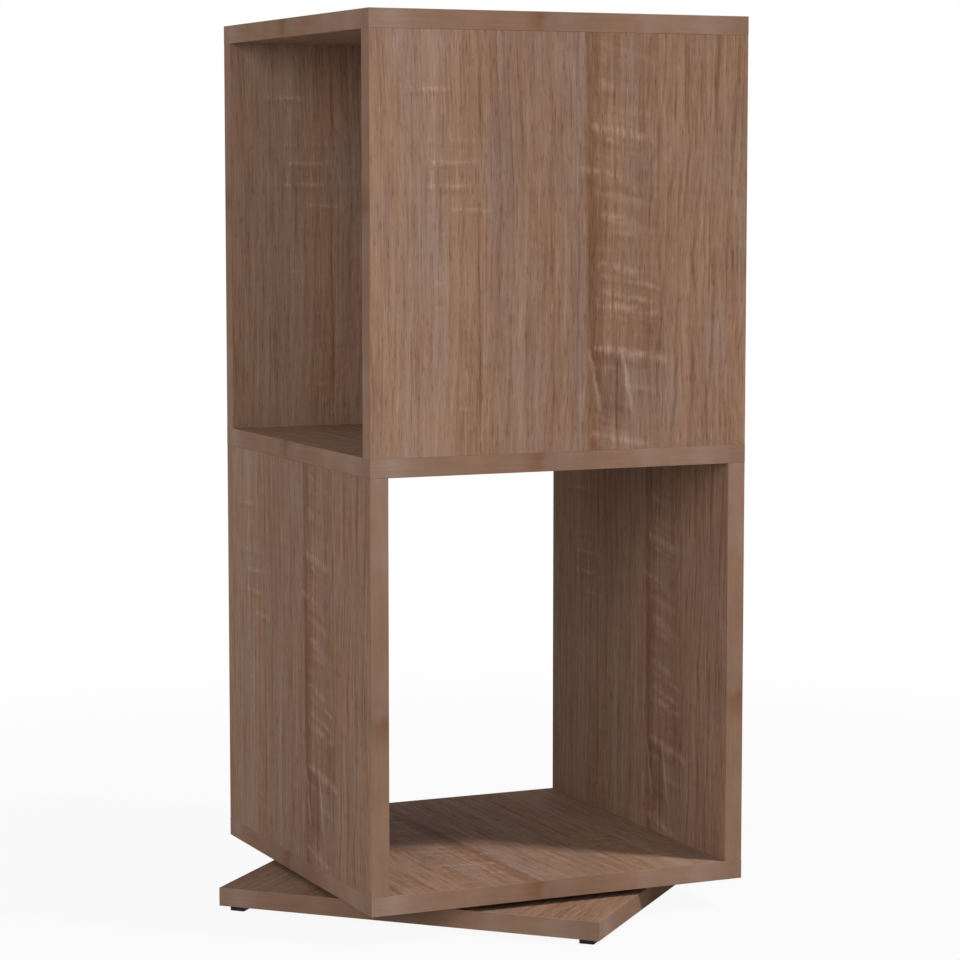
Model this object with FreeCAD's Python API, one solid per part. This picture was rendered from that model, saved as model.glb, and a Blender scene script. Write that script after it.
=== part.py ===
"""Rotating display cabinet of square particle boards: two open compartments, stacked crosswise, on a swivel.

Millimetres, +Z up. The origin is on the floor, under the turning axis. The cabinet stands square to X and Y,
with its closed upper face towards -Y, and the square base board under it is turned about Z.
"""
import FreeCAD, Part
import math
import os

Vector = FreeCAD.Vector
ORIGIN = Vector(0, 0, 0)
UP = Vector(0, 0, 1)
SIDEWAYS = Vector(1, 0, 0)
FULL_TURN = 360
HALF_TURN = 180
QUARTER_TURN = 90
HEX_SIDES = 6

# Boards: melamine-faced particle board, all cut from one thickness
board_thickness = 16.0
cabinet_width = 345.0
cabinet_depth = 345.0
lower_clear_height = 345.0
upper_clear_height = 345.0
base_side = 345.0
base_turn = 45.0

# Edging strips glued on every board edge that shows
edging_thickness = 0.8
edging_round = 0.4

# Carcass joints: through screws with a hex socket, beech dowels and flush caps
joint_end_distance = 37.0
joint_pitch = 32.0
screw_length = 50.0
screw_head_diameter = 10.0
screw_head_rim = 1.0
screw_head_cone = 1.6
screw_shank_diameter = 7.0
screw_shank_length = 15.0
screw_core_diameter = 5.0
screw_tip_length = 3.0
socket_width = 4.0
socket_depth = 1.6
dowel_diameter = 8.0
dowel_length = 30.0
dowel_chamfer = 0.9
dowel_blind_wall = 4.0
dowel_end_gap = 0.5
cap_diameter = 12.0
cap_thickness = 1.2

# Swivel: two pressed sheet plates with coined ball races, held together by the upper plate's flared collar
plate_side = 150.0
plate_corner_radius = 12.0
sheet_thickness = 1.0
plate_hole_inset = 10.0
ball_diameter = 3.97
ball_count = 16
race_depth = 0.385
race_clearance = 0.05
cage_thickness = 1.0
cage_width = 9.0
cage_pocket_clearance = 0.15
collar_radius = 26.0
collar_flare = 4.0
running_clearance = 0.3
dish_wall_run = 1.6
dish_to_race = 17.0
bend_radius = 0.4

# Swivel screws: low wafer heads, so that the two rings of heads pass each other
swivel_screw_length = 12.0
swivel_screw_diameter = 3.8
swivel_screw_head_diameter = 8.0
swivel_screw_head_chamfer = 0.5
swivel_screw_tip = 2.5
head_pass_clearance = 0.7
access_hole_diameter = 14.0

# Feet: square glides under the corners of the base board, each held by one countersunk screw
foot_side = 13.0
foot_height = 5.2
foot_inset = 7.0
foot_round = 0.8
foot_screw_length = 14.0
foot_screw_diameter = 3.0
foot_screw_head_diameter = 6.0
foot_screw_head_height = 1.8
foot_screw_head_recess = 1.2
foot_screw_tip = 2.0

# Fits and cuts
fit_clearance = 0.05
cut_overrun = 1.0

# Heights of the stack, from the floor up
plate_gap = ball_diameter + 2 * race_clearance - 2 * race_depth
swivel_height = plate_gap + 2 * sheet_thickness
base_bottom = foot_height
base_top = base_bottom + board_thickness
cabinet_bottom = base_top + swivel_height
lower_floor = cabinet_bottom + board_thickness
shelf_bottom = lower_floor + lower_clear_height
shelf_top = shelf_bottom + board_thickness
top_bottom = shelf_top + upper_clear_height
cabinet_top = top_bottom + board_thickness
ball_height = base_top + swivel_height / 2

# Lines that the pieces share
wall_line_x = cabinet_width / 2 - board_thickness / 2
wall_line_y = cabinet_depth / 2 - board_thickness / 2
plate_hole_line = plate_side / 2 - plate_hole_inset
dish_radius = collar_radius + collar_flare + running_clearance + dish_wall_run
ball_circle_radius = dish_radius + dish_to_race
foot_line = base_side / 2 - foot_inset - foot_side / 2
swivel_screw_head_height = (plate_gap - head_pass_clearance) / 2


# Shared shapes

def polygon_face(points):
    """A flat face inside the given corner points."""
    return Part.Face(Part.makePolygon(points + points[:1]))


def rounded_face(corners):
    """A flat face inside (point, radius) corners, each rounded by its radius."""
    starts, ends, edges = [], [], []
    for k, (point, radius) in enumerate(corners):
        back = (corners[k - 1][0] - point).normalize()
        ahead = (corners[(k + 1) % len(corners)][0] - point).normalize()
        half_angle = back.getAngle(ahead) / 2
        reach = radius / math.tan(half_angle)
        starts.append(point + back * reach)
        ends.append(point + ahead * reach)
        if radius:
            inward = (back + ahead).normalize()
            middle = point + inward * (radius / math.sin(half_angle) - radius)
            edges.append(Part.Arc(starts[k], middle, ends[k]).toShape())
    for k, start in enumerate(starts):
        edges.append(Part.makeLine(ends[k - 1], start))
    return Part.Face(Part.Wire(Part.__sortEdges__(edges)))


def turned(outline):
    """The solid made by turning an outline of (radius, height) corners about Z.

    A third number in a corner is the radius that it is rounded by.
    """
    corners = [(Vector(corner[0], 0, corner[1]), sum(corner[2:])) for corner in outline]
    return rounded_face(corners).revolve(ORIGIN, UP, FULL_TURN)


def rod(radius, bottom, top, x=0, y=0):
    """A plain round rod or hole, upright at (x, y)."""
    return Part.makeCylinder(radius, top - bottom, Vector(x, y, bottom))


def slab(width, depth, bottom, top):
    """A rectangular board, drawn as an outline about the axis and raised."""
    outline = [
        Vector(-width / 2, -depth / 2, bottom),
        Vector(width / 2, -depth / 2, bottom),
        Vector(width / 2, depth / 2, bottom),
        Vector(-width / 2, depth / 2, bottom),
    ]
    return polygon_face(outline).extrude(UP * (top - bottom))


def rounded_square(side, radius, bottom, top):
    """A square plate or block whose upright corners are rounded."""
    block = slab(side, side, bottom, top)
    uprights = [edge for edge in block.Edges if abs(edge.tangentAt(0).z) > 0.5]
    return block.makeFillet(radius, uprights)


def moved(shape, x=0, y=0, z=0):
    """A copy of a shape, carried by (x, y, z)."""
    copy = shape.copy()
    copy.translate(Vector(x, y, z))
    return copy


def spun(shape, angle):
    """A copy of a shape, turned about Z."""
    copy = shape.copy()
    copy.rotate(ORIGIN, UP, angle)
    return copy


def flipped(shape):
    """A copy of a shape, turned upside down about X."""
    copy = shape.copy()
    copy.rotate(ORIGIN, SIDEWAYS, HALF_TURN)
    return copy


def four_corners(line_x, line_y):
    """The four places that mirror each other about the axis."""
    return [(sx * line_x, sy * line_y) for sx in (-1, 1) for sy in (-1, 1)]


def group(solids):
    """Several separate solids that share one node."""
    return Part.makeCompound(solids)


def with_base(shape):
    """A piece drawn square to the axes, turned as the base board is."""
    return spun(shape, base_turn)


# Edging strips

def edging_strip(length):
    """One strip, lying along X from the middle, its glued face at y = 0 and its rounded face towards -Y."""
    arris = min(edging_round, edging_thickness / 2)
    section = [
        (Vector(-length / 2, 0, 0), 0),
        (Vector(-length / 2, 0, board_thickness), 0),
        (Vector(-length / 2, -edging_thickness, board_thickness), arris),
        (Vector(-length / 2, -edging_thickness, 0), arris),
    ]
    return rounded_face(section).extrude(SIDEWAYS * length)


def level_board_edging(width, depth, bottom):
    """The four strips round a level board: the side pair runs through and the front pair butts between it."""
    strips = []
    for angle in (0, HALF_TURN):
        front = moved(edging_strip(width - 2 * edging_thickness), 0, -depth / 2 + edging_thickness, bottom)
        side = moved(edging_strip(depth), 0, -width / 2 + edging_thickness, bottom)
        strips.append(spun(front, angle))
        strips.append(spun(side, angle + QUARTER_TURN))
    return group(strips)


def wall_edging(length, height, bottom):
    """The two upright strips on the ends of a wall that runs along X, centred on the wall's mid line."""
    strips = []
    for angle in (0, HALF_TURN):
        upright = moved(edging_strip(height), 0, 0, -board_thickness / 2)
        upright.rotate(ORIGIN, Vector(0, 1, 0), -QUARTER_TURN)
        upright = moved(spun(upright, -QUARTER_TURN), -length / 2 + edging_thickness, 0, bottom + height / 2)
        strips.append(spun(upright, angle))
    return group(strips)


# Carcass joints

def joint_screw(growth=0):
    """A through screw with its head at height 0, pointing down. A growth gives the hole that it sits in."""
    head = screw_head_diameter / 2 + growth
    shank = screw_shank_diameter / 2 + growth
    core = screw_core_diameter / 2 + growth
    tip = core / 2
    end = -screw_length - growth
    return turned([
        (0, 0),
        (head, 0),
        (head, -screw_head_rim),
        (shank, -screw_head_rim - screw_head_cone),
        (shank, -screw_shank_length),
        (core, -screw_shank_length),
        (core, end + screw_tip_length),
        (tip, end),
        (0, end),
    ])


def hex_socket():
    """The six-sided recess in the head of a through screw."""
    corner = socket_width / 2 / math.cos(math.pi / HEX_SIDES)
    angles = [math.radians(FULL_TURN * k / HEX_SIDES) for k in range(HEX_SIDES)]
    mouth = [Vector(corner * math.cos(a), corner * math.sin(a), 0) for a in angles]
    return polygon_face(mouth).extrude(-UP * socket_depth)


def dowel():
    """A chamfered dowel that hangs down from height 0."""
    radius = dowel_diameter / 2
    return turned([
        (0, 0),
        (radius - dowel_chamfer, 0),
        (radius, -dowel_chamfer),
        (radius, dowel_chamfer - dowel_length),
        (radius - dowel_chamfer, -dowel_length),
        (0, -dowel_length),
    ])


def dowel_hole():
    """The hole round a dowel, in both boards, with some air at each end."""
    return rod(dowel_diameter / 2 + fit_clearance, -dowel_length - dowel_end_gap, dowel_end_gap)


def carcass_joint(plane, rising, along_x, capped):
    """The fasteners of one level joint, and the holes that they need in both boards.

    plane is the height where the boards meet. rising joints are screwed upwards, from the board below the
    plane, and the others downwards. along_x says which way the two walls run. A capped joint has its heads
    sunk under flush caps.
    """
    recess = cap_thickness if capped else 0
    face = plane - board_thickness if rising else plane + board_thickness
    half = cabinet_width / 2 if along_x else cabinet_depth / 2
    screw_run = half - joint_end_distance
    dowel_run = screw_run - joint_pitch

    def spots(run):
        return four_corners(run, wall_line_y) if along_x else four_corners(wall_line_x, run)

    def set_in(shape, x, y, height):
        facing = flipped(shape) if rising else shape
        return moved(facing, x, y, height)

    head_height = face + recess if rising else face - recess
    dowel_end = face + dowel_blind_wall if rising else face - dowel_blind_wall
    screw = joint_screw().cut(hex_socket())
    screw_hole = joint_screw(fit_clearance)
    cap = rod(cap_diameter / 2, -cap_thickness, 0)
    cap_seat = rod(cap_diameter / 2 + fit_clearance, -cap_thickness, cut_overrun)
    mouth = rod(screw_head_diameter / 2 + fit_clearance, 0, cut_overrun)

    made = {"screws": [], "dowels": [], "caps": [], "holes": []}
    for x, y in spots(screw_run):
        made["screws"].append(set_in(screw, x, y, head_height))
        made["holes"].append(set_in(screw_hole, x, y, head_height))
        made["holes"].append(set_in(mouth, x, y, head_height))
        if capped:
            made["caps"].append(set_in(cap, x, y, face))
            made["holes"].append(set_in(cap_seat, x, y, face))
    for x, y in spots(dowel_run):
        made["dowels"].append(set_in(dowel(), x, y, dowel_end))
        made["holes"].append(set_in(dowel_hole(), x, y, dowel_end))
    return made


# Boards of the cabinet

def level_board(bottom, *joints):
    """A level board with the holes of its joints."""
    width = cabinet_width - 2 * edging_thickness
    depth = cabinet_depth - 2 * edging_thickness
    board = slab(width, depth, bottom, bottom + board_thickness)
    return board.cut([hole for joint in joints for hole in joint["holes"]])


def wall_along_x(side, bottom, height, *joints):
    """An upright board that runs along X. side is -1 for the front and 1 for the back."""
    board = slab(cabinet_width - 2 * edging_thickness, board_thickness, bottom, bottom + height)
    board = moved(board, 0, side * wall_line_y)
    return board.cut([hole for joint in joints for hole in joint["holes"]])


def wall_along_y(side, bottom, height, *joints):
    """An upright board that runs along Y. side is -1 for the left and 1 for the right."""
    board = slab(board_thickness, cabinet_depth - 2 * edging_thickness, bottom, bottom + height)
    board = moved(board, side * wall_line_x)
    return board.cut([hole for joint in joints for hole in joint["holes"]])


# Swivel

def plate_spots():
    """Where the screws of a swivel plate are."""
    return four_corners(plate_hole_line, plate_hole_line)


def plate_blank(bottom):
    """A flat square plate with its four screw holes."""
    top = bottom + sheet_thickness
    blank = rounded_square(plate_side, plate_corner_radius, bottom, top)
    hole = rod(swivel_screw_diameter / 2 + fit_clearance, bottom - cut_overrun, top + cut_overrun)
    return blank.cut([moved(hole, x, y) for x, y in plate_spots()])


def ball_race():
    """The ring-shaped space that the balls run in, which both plates are coined to."""
    middle = Vector(0, 0, ball_height)
    return Part.makeTorus(ball_circle_radius, ball_diameter / 2 + race_clearance, middle, UP)


def lower_plate():
    """The plate on the base board. Its middle is dished up, to leave room for the collar's flare."""
    rim_under = base_top + running_clearance + sheet_thickness + running_clearance
    rim_top = rim_under + sheet_thickness
    flat_top = base_top + sheet_thickness
    rim_inner = collar_radius + running_clearance
    wall_inner = dish_radius - dish_wall_run
    wall_angle = math.atan2(rim_under - base_top, dish_wall_run)
    mitre = sheet_thickness * math.tan(wall_angle / 2)
    land = dish_radius + mitre + sheet_thickness
    dish = turned([
        (rim_inner, rim_under),
        (wall_inner, rim_under, bend_radius),
        (dish_radius, base_top, bend_radius),
        (land, base_top),
        (land, flat_top),
        (dish_radius + mitre, flat_top, bend_radius),
        (wall_inner + mitre, rim_top, bend_radius),
        (rim_inner, rim_top),
    ])
    opening = rod(land, base_top - cut_overrun, flat_top + cut_overrun)
    return plate_blank(base_top).cut(opening).fuse(dish).removeSplitter().cut(ball_race())


def upper_plate():
    """The plate under the cabinet. Its drawn collar passes the lower plate's rim and flares out below it."""
    flare_bottom = base_top + running_clearance
    flare_top = flare_bottom + sheet_thickness
    bore = collar_radius - sheet_thickness
    flat_under = cabinet_bottom - sheet_thickness
    land = collar_radius + bend_radius + sheet_thickness
    outer_bend = bend_radius + sheet_thickness
    collar = turned([
        (bore, cabinet_bottom, outer_bend),
        (bore, flare_bottom, outer_bend),
        (collar_radius + collar_flare, flare_bottom),
        (collar_radius + collar_flare, flare_top),
        (collar_radius, flare_top, bend_radius),
        (collar_radius, flat_under, bend_radius),
        (land, flat_under),
        (land, cabinet_bottom),
    ])
    opening = rod(land, flat_under - cut_overrun, cabinet_bottom + cut_overrun)
    return plate_blank(flat_under).cut(opening).fuse(collar).removeSplitter().cut(ball_race())


def ball_places():
    """The centres of the balls, evenly spaced on their circle."""
    angles = [math.radians(FULL_TURN * k / ball_count) for k in range(ball_count)]
    return [Vector(math.cos(a), math.sin(a), 0) * ball_circle_radius + UP * ball_height for a in angles]


def ball_cage():
    """The flat ring that keeps the balls apart, with a round pocket for each."""
    low, high = ball_height - cage_thickness / 2, ball_height + cage_thickness / 2
    outer = rod(ball_circle_radius + cage_width / 2, low, high)
    inner = rod(ball_circle_radius - cage_width / 2, low - cut_overrun, high + cut_overrun)
    pocket = rod(ball_diameter / 2 + cage_pocket_clearance, low - cut_overrun, high + cut_overrun)
    return outer.cut([inner] + [moved(pocket, place.x, place.y) for place in ball_places()])


def swivel_screw():
    """A wafer-head screw with its head's seat at height 0, pointing down."""
    shank = swivel_screw_diameter / 2
    head = swivel_screw_head_diameter / 2
    return turned([
        (0, swivel_screw_head_height),
        (head - swivel_screw_head_chamfer, swivel_screw_head_height),
        (head, swivel_screw_head_height - swivel_screw_head_chamfer),
        (head, 0),
        (shank, 0),
        (shank, swivel_screw_tip - swivel_screw_length),
        (0, -swivel_screw_length),
    ])


def swivel_pilot():
    """The pilot hole of a wafer-head screw, drawn from the same seat."""
    shank = swivel_screw_diameter / 2 + fit_clearance
    end = -swivel_screw_length - fit_clearance
    return turned([
        (0, 0),
        (shank, 0),
        (shank, end + swivel_screw_tip),
        (0, end),
    ])


# Feet

def foot_screw(growth=0):
    """A countersunk screw with its head at height 0, pointing up. A growth gives the hole that it sits in."""
    head = foot_screw_head_diameter / 2 + growth
    shank = foot_screw_diameter / 2 + growth
    end = foot_screw_length + growth
    return turned([
        (0, 0),
        (head, 0),
        (shank, foot_screw_head_height),
        (shank, end - foot_screw_tip),
        (0, end),
    ])


def foot_glide(x, y):
    """One square glide with its countersunk hole, standing on the floor."""
    glide = rounded_square(foot_side, foot_round, 0, foot_height)
    mouth = rod(foot_screw_head_diameter / 2 + fit_clearance, -cut_overrun, foot_screw_head_recess)
    hole = moved(foot_screw(fit_clearance), 0, 0, foot_screw_head_recess)
    return moved(glide.cut([mouth, hole]), x, y)


# The assembly

def carcass_nodes():
    """The boards, edging, joints and caps of the cabinet that turns."""
    top_joint = carcass_joint(top_bottom, rising=False, along_x=True, capped=True)
    upper_joint = carcass_joint(shelf_top, rising=True, along_x=True, capped=True)
    lower_joint = carcass_joint(shelf_bottom, rising=False, along_x=False, capped=True)
    bottom_joint = carcass_joint(lower_floor, rising=True, along_x=False, capped=False)
    seat = cabinet_bottom - sheet_thickness
    pilot = flipped(swivel_pilot())
    pilots = [moved(pilot, x, y, seat) for x, y in plate_spots()]

    nodes = {
        "top_panel": level_board(top_bottom, top_joint),
        "middle_shelf": level_board(shelf_bottom, upper_joint, lower_joint),
        "bottom_panel": level_board(cabinet_bottom, bottom_joint).cut(pilots),
    }
    for name, side in (("upper_front_panel", -1), ("upper_back_panel", 1)):
        nodes[name] = wall_along_x(side, shelf_top, upper_clear_height, top_joint, upper_joint)
        edging = wall_edging(cabinet_width, upper_clear_height, shelf_top)
        nodes[name + "_edging"] = moved(edging, 0, side * wall_line_y)
    for name, side in (("lower_left_panel", -1), ("lower_right_panel", 1)):
        nodes[name] = wall_along_y(side, lower_floor, lower_clear_height, lower_joint, bottom_joint)
        edging = spun(wall_edging(cabinet_depth, lower_clear_height, lower_floor), QUARTER_TURN)
        nodes[name + "_edging"] = moved(edging, side * wall_line_x)
    levels = {"top_panel": top_bottom, "middle_shelf": shelf_bottom, "bottom_panel": cabinet_bottom}
    for name, bottom in levels.items():
        nodes[name + "_edging"] = level_board_edging(cabinet_width, cabinet_depth, bottom)
    joints = {
        "top": top_joint,
        "shelf_upper": upper_joint,
        "shelf_lower": lower_joint,
        "bottom": bottom_joint,
    }
    for name, joint in joints.items():
        nodes[name + "_joint_screws"] = group(joint["screws"])
        nodes[name + "_joint_dowels"] = group(joint["dowels"])
        if joint["caps"]:
            nodes[name + "_screw_caps"] = group(joint["caps"])
    return nodes


def swivel_nodes():
    """The two plates, the balls in their cage, and the screws of each plate."""
    lower_seat = base_top + sheet_thickness
    upper_seat = cabinet_bottom - sheet_thickness
    screw = swivel_screw()
    balls = [Part.makeSphere(ball_diameter / 2, place) for place in ball_places()]
    return {
        "swivel_lower_plate": with_base(lower_plate()),
        "swivel_lower_screws": with_base(group([moved(screw, x, y, lower_seat) for x, y in plate_spots()])),
        "swivel_upper_plate": upper_plate(),
        "swivel_upper_screws": group([moved(flipped(screw), x, y, upper_seat) for x, y in plate_spots()]),
        "swivel_ball_cage": ball_cage(),
        "swivel_balls": group(balls),
    }


def base_nodes():
    """The base board with its edging, feet and foot screws."""
    side = base_side - 2 * edging_thickness
    seat = base_top + sheet_thickness
    pilots = [moved(swivel_pilot(), x, y, seat) for x, y in plate_spots()]
    foot_spots = four_corners(foot_line, foot_line)
    foot_screws = [moved(foot_screw(), x, y, foot_screw_head_recess) for x, y in foot_spots]
    foot_holes = [moved(foot_screw(fit_clearance), x, y, foot_screw_head_recess) for x, y in foot_spots]
    access_line = plate_hole_line * math.sqrt(2)
    access = rod(access_hole_diameter / 2, base_bottom - cut_overrun, base_top + cut_overrun, 0, -access_line)
    board = slab(side, side, base_bottom, base_top).cut(pilots + foot_holes + [access])

    nodes = {
        "base_panel": with_base(board),
        "base_panel_edging": with_base(level_board_edging(base_side, base_side, base_bottom)),
        "foot_screws": with_base(group(foot_screws)),
    }
    for name, (x, y) in zip(("front", "left", "right", "back"), foot_spots):
        nodes["foot_" + name] = with_base(foot_glide(x, y))
    return nodes


def main():
    os.makedirs("parts", exist_ok=True)
    nodes = {**base_nodes(), **swivel_nodes(), **carcass_nodes()}
    for name, shape in nodes.items():
        shape.exportStep(os.path.join("parts", name + ".step"))
    print(len(nodes), "nodes")
    print("overall height", round(cabinet_top, 2), "mm, swivel height", round(swivel_height, 2), "mm")


main()
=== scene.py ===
# %% [markdown]
# A rotating display cabinet
#
# The cabinet is eight square furniture boards in a brown sawn-oak decor: two open compartments, stacked
# crosswise, that turn on a square base board. This lesson dresses the finished construction: first the
# camera, the floor and the light, then the printed oak, then the small fasteners that are modelled by
# hand.

# %% Load the construction
import math

import bmesh
import bpy
from mathutils import Euler, Matrix, Vector


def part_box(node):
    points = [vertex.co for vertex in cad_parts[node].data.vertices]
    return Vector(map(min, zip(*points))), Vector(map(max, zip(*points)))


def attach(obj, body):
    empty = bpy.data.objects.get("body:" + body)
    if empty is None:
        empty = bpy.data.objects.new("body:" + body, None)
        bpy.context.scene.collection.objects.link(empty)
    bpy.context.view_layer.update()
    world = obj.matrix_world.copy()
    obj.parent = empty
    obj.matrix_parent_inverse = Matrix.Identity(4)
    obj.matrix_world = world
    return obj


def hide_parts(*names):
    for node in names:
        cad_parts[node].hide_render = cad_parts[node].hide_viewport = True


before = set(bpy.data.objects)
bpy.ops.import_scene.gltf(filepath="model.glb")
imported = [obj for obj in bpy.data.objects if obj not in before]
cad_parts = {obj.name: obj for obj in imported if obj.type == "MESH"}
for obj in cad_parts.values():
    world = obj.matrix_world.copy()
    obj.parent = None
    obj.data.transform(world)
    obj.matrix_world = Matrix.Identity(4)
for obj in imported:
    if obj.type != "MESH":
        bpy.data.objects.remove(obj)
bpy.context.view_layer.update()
bpy.ops.object.select_all(action="DESELECT")

# %% [markdown]
# Measure before you make anything
#
# Nearly everything below hangs on one size, the side of a board. It could be typed in again, but
# reading it from a board keeps the finish in step with the construction. Only the base's turn, an
# eighth of a circle, is written here.

# %% Measure the boards
MM = 0.001
wall_low, wall_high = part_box("upper_front_panel")
board_side = wall_high.z - wall_low.z
base_turn = math.radians(45)
print("boards of", round(board_side / MM, 1), "mm square")

# %% [markdown]
# The camera
#
# A product photo is taken from far away with a long lens, so that upright edges stay nearly upright.
# The place, the turn and the lens here were worked out from straight board edges. The camera stands as
# high as the upper compartment and looks a little down.

# %% Set the camera
camera_place = Vector((-1.0881, -2.4261, 0.6332))
camera_turn_right = math.radians(24.2)
camera_tilt_down = math.radians(5.785)
camera_lens = 113.53
film_width = 36

camera = bpy.data.objects.new("camera", bpy.data.cameras.new("camera"))
camera.data.lens = camera_lens
camera.data.sensor_width = film_width
camera.location = camera_place
camera.rotation_euler = Euler((math.radians(90) - camera_tilt_down, 0, -camera_turn_right))
bpy.context.collection.objects.link(camera)
bpy.context.scene.camera = camera
bpy.context.scene.view_settings.view_transform = "Standard"
print("camera", round(camera_place.xy.length, 2), "m from the turning axis, lens", camera_lens, "mm")

# %% [markdown]
# Nodes in code
#
# A finish is a small network of nodes. In the editor you add a node, type its numbers and pull wires.
# These helpers do the same three things, so that the cells below can read like a recipe.

# %% Helpers for node networks
def feed(tree, socket, value):
    """Wire a socket to another node's output, or set it to a plain value."""
    if isinstance(value, bpy.types.NodeSocket):
        tree.links.new(value, socket)
    else:
        socket.default_value = value


def add_node(tree, kind, inputs=(), **settings):
    """Add a shader node, set its own settings and feed its inputs, by name or number."""
    made = tree.nodes.new("ShaderNode" + kind)
    for name, value in settings.items():
        setattr(made, name, value)
    for key, value in dict(inputs).items():
        feed(tree, made.inputs[key], value)
    return made


def calc(tree, operation, *values, clamp=False):
    """One step of arithmetic."""
    made = add_node(tree, "Math", dict(enumerate(values)), operation=operation, use_clamp=clamp)
    return made.outputs[0]


def fade(tree, value, start, end):
    """0 before start and 1 past end, smooth between. With end below start it fades out instead."""
    steps = {"Value": value, "From Min": start, "From Max": end}
    made = add_node(tree, "MapRange", steps, interpolation_type="SMOOTHSTEP")
    return made.outputs["Result"]


def between(tree, value, low, high):
    """A 0 to 1 value stretched between two levels."""
    return add_node(tree, "MapRange", {"Value": value, "To Min": low, "To Max": high}).outputs["Result"]


print("node helpers are ready")

# %% [markdown]
# Colours and finishes
#
# A colour picked on the screen isn't the number that a shader works with, because light adds up evenly
# and screen levels don't. One helper turns the one into the other. Others start a material, and tell
# rays that show a thing from rays that only light it.

# %% Helpers for colours and finishes
def paint(red, green, blue):
    """A colour as a screen shows it, from 0 to 255, made linear for the shader."""
    def linear(level):
        share = level / 255
        return share / 12.92 if share <= 0.04045 else ((share + 0.055) / 1.055) ** 2.4
    return (linear(red), linear(green), linear(blue), 1.0)


def mix(tree, factor, first, second):
    """Two colours mixed."""
    return add_node(tree, "Mix", {0: factor, 6: first, 7: second}, data_type="RGBA").outputs[2]


def new_finish(name, roughness, gloss=0.5):
    """A material with its network and its shader."""
    made = bpy.data.materials.new(name)
    made.use_nodes = True
    shader = made.node_tree.nodes["Principled BSDF"]
    shader.inputs["Roughness"].default_value = roughness
    shader.inputs["Specular IOR Level"].default_value = gloss
    return made, made.node_tree, shader


def showing_rays(tree):
    """1 for rays that show a thing, straight, mirrored or through glass, and 0 for the others."""
    rays = add_node(tree, "LightPath").outputs
    seen = calc(tree, "MAXIMUM", rays["Is Camera Ray"], rays["Is Glossy Ray"])
    return calc(tree, "MAXIMUM", seen, rays["Is Transmission Ray"])


print("half of the screen's white is", round(paint(128, 128, 128)[0], 3), "of its light")

# %% [markdown]
# The floor
#
# A product photo stands on white paper. A bright lamp could burn the paper out, but it would burn the
# object too. So rays that show the floor see most of it as plain white. The rest is grey paint that
# receives light, so the object keeps a soft shadow to stand in, and further out it fades away. The
# paint isn't white, because a white floor would throw too much light up at the undersides.

# %% Make the floor
floor_half = 12.0
floor_grey = (0.45, 0.45, 0.45, 1)
floor_roughness = 0.9
full_white = (1, 1, 1, 1)
white_near_share = 0.93
white_near = 0.5
white_far = 1.6

bpy.ops.mesh.primitive_plane_add(size=2 * floor_half)
floor = bpy.context.active_object
floor.name = "floor"
floor_paint, tree, shader = new_finish("floor_paint", floor_roughness)
shader.inputs["Base Color"].default_value = floor_grey
white = add_node(tree, "Emission", {"Color": full_white, "Strength": 1.0})
place = add_node(tree, "TexCoord").outputs["Object"]
reach = add_node(tree, "VectorMath", {0: place}, operation="LENGTH").outputs["Value"]
steps = {"Value": reach, "From Min": white_near, "From Max": white_far, "To Min": white_near_share}
away = add_node(tree, "MapRange", steps, interpolation_type="SMOOTHSTEP").outputs["Result"]
share = calc(tree, "MULTIPLY", showing_rays(tree), away)
both = add_node(tree, "MixShader", {0: share, 1: shader.outputs[0], 2: white.outputs[0]})
feed(tree, tree.nodes["Material Output"].inputs["Surface"], both.outputs[0])
floor.data.materials.append(floor_paint)
floor.select_set(False)
print("floor", 2 * floor_half, "m across")

# %% [markdown]
# The lamps
#
# The shadow edge on the lower compartment's floor starts at the foot of the right wall and runs to the
# back left. So the main soft box stands high at the front right. It is far away, because a near lamp
# would light the top of the cabinet more than its foot. A large second box, low at the front left,
# reaches into both compartments, as a white wall beside the camera would. A third, weaker one stands
# straight behind, so that the back isn't lost in the dark.

# %% Set the lamps
def soft_box(name, side, distance, turn_right, height, watts):
    """A square lamp that looks at the middle of the cabinet from a compass turn and a height, in degrees."""
    turn, rise = math.radians(turn_right), math.radians(height)
    towards = Vector((math.cos(rise) * math.sin(turn), -math.cos(rise) * math.cos(turn), math.sin(rise)))
    lamp = bpy.data.lights.new(name, "AREA")
    lamp.shape = "SQUARE"
    lamp.size = side
    lamp.energy = watts
    made = bpy.data.objects.new(name, lamp)
    made.location = Vector((0, 0, board_side)) + towards * distance
    made.rotation_euler = towards.to_track_quat("Z", "Y").to_euler()
    bpy.context.collection.objects.link(made)
    print(name, watts, "W at", distance, "m")


soft_box("main_soft_box", side=2.4, distance=24.0, turn_right=47, height=55, watts=4400)
soft_box("fill_soft_box", side=5.2, distance=10.0, turn_right=-48, height=15.5, watts=445)
soft_box("back_soft_box", side=2.6, distance=10.0, turn_right=180, height=12, watts=140)

# %% [markdown]
# The room
#
# The rest of the room is bright and even, which is the world's light. Rays that show the room see full
# white. For all other rays it is turned down, so that it lifts the shadows without washing out the
# lamps.

# %% Set the room
room_level = 0.315
room = bpy.data.worlds.new("white_room")
bpy.context.scene.world = room
room.use_nodes = True
tree = room.node_tree
backdrop = tree.nodes["Background"]
backdrop.inputs["Color"].default_value = full_white
feed(tree, backdrop.inputs["Strength"], between(tree, showing_rays(tree), room_level, 1.0))
print("room at", room_level, "of full white")

# %% [markdown]
# Oak decor: a print made of noise
#
# The oak is a printed paper, pressed on particle board, so the same picture comes back on every board.
# It could be an image, but a network of noises has no limit of sharpness and no seams. All of it works
# in shares of one board: across the grain from 0 on the left to 1 on the right, and along it from 0 at
# the foot to 1 at the top.

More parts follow.
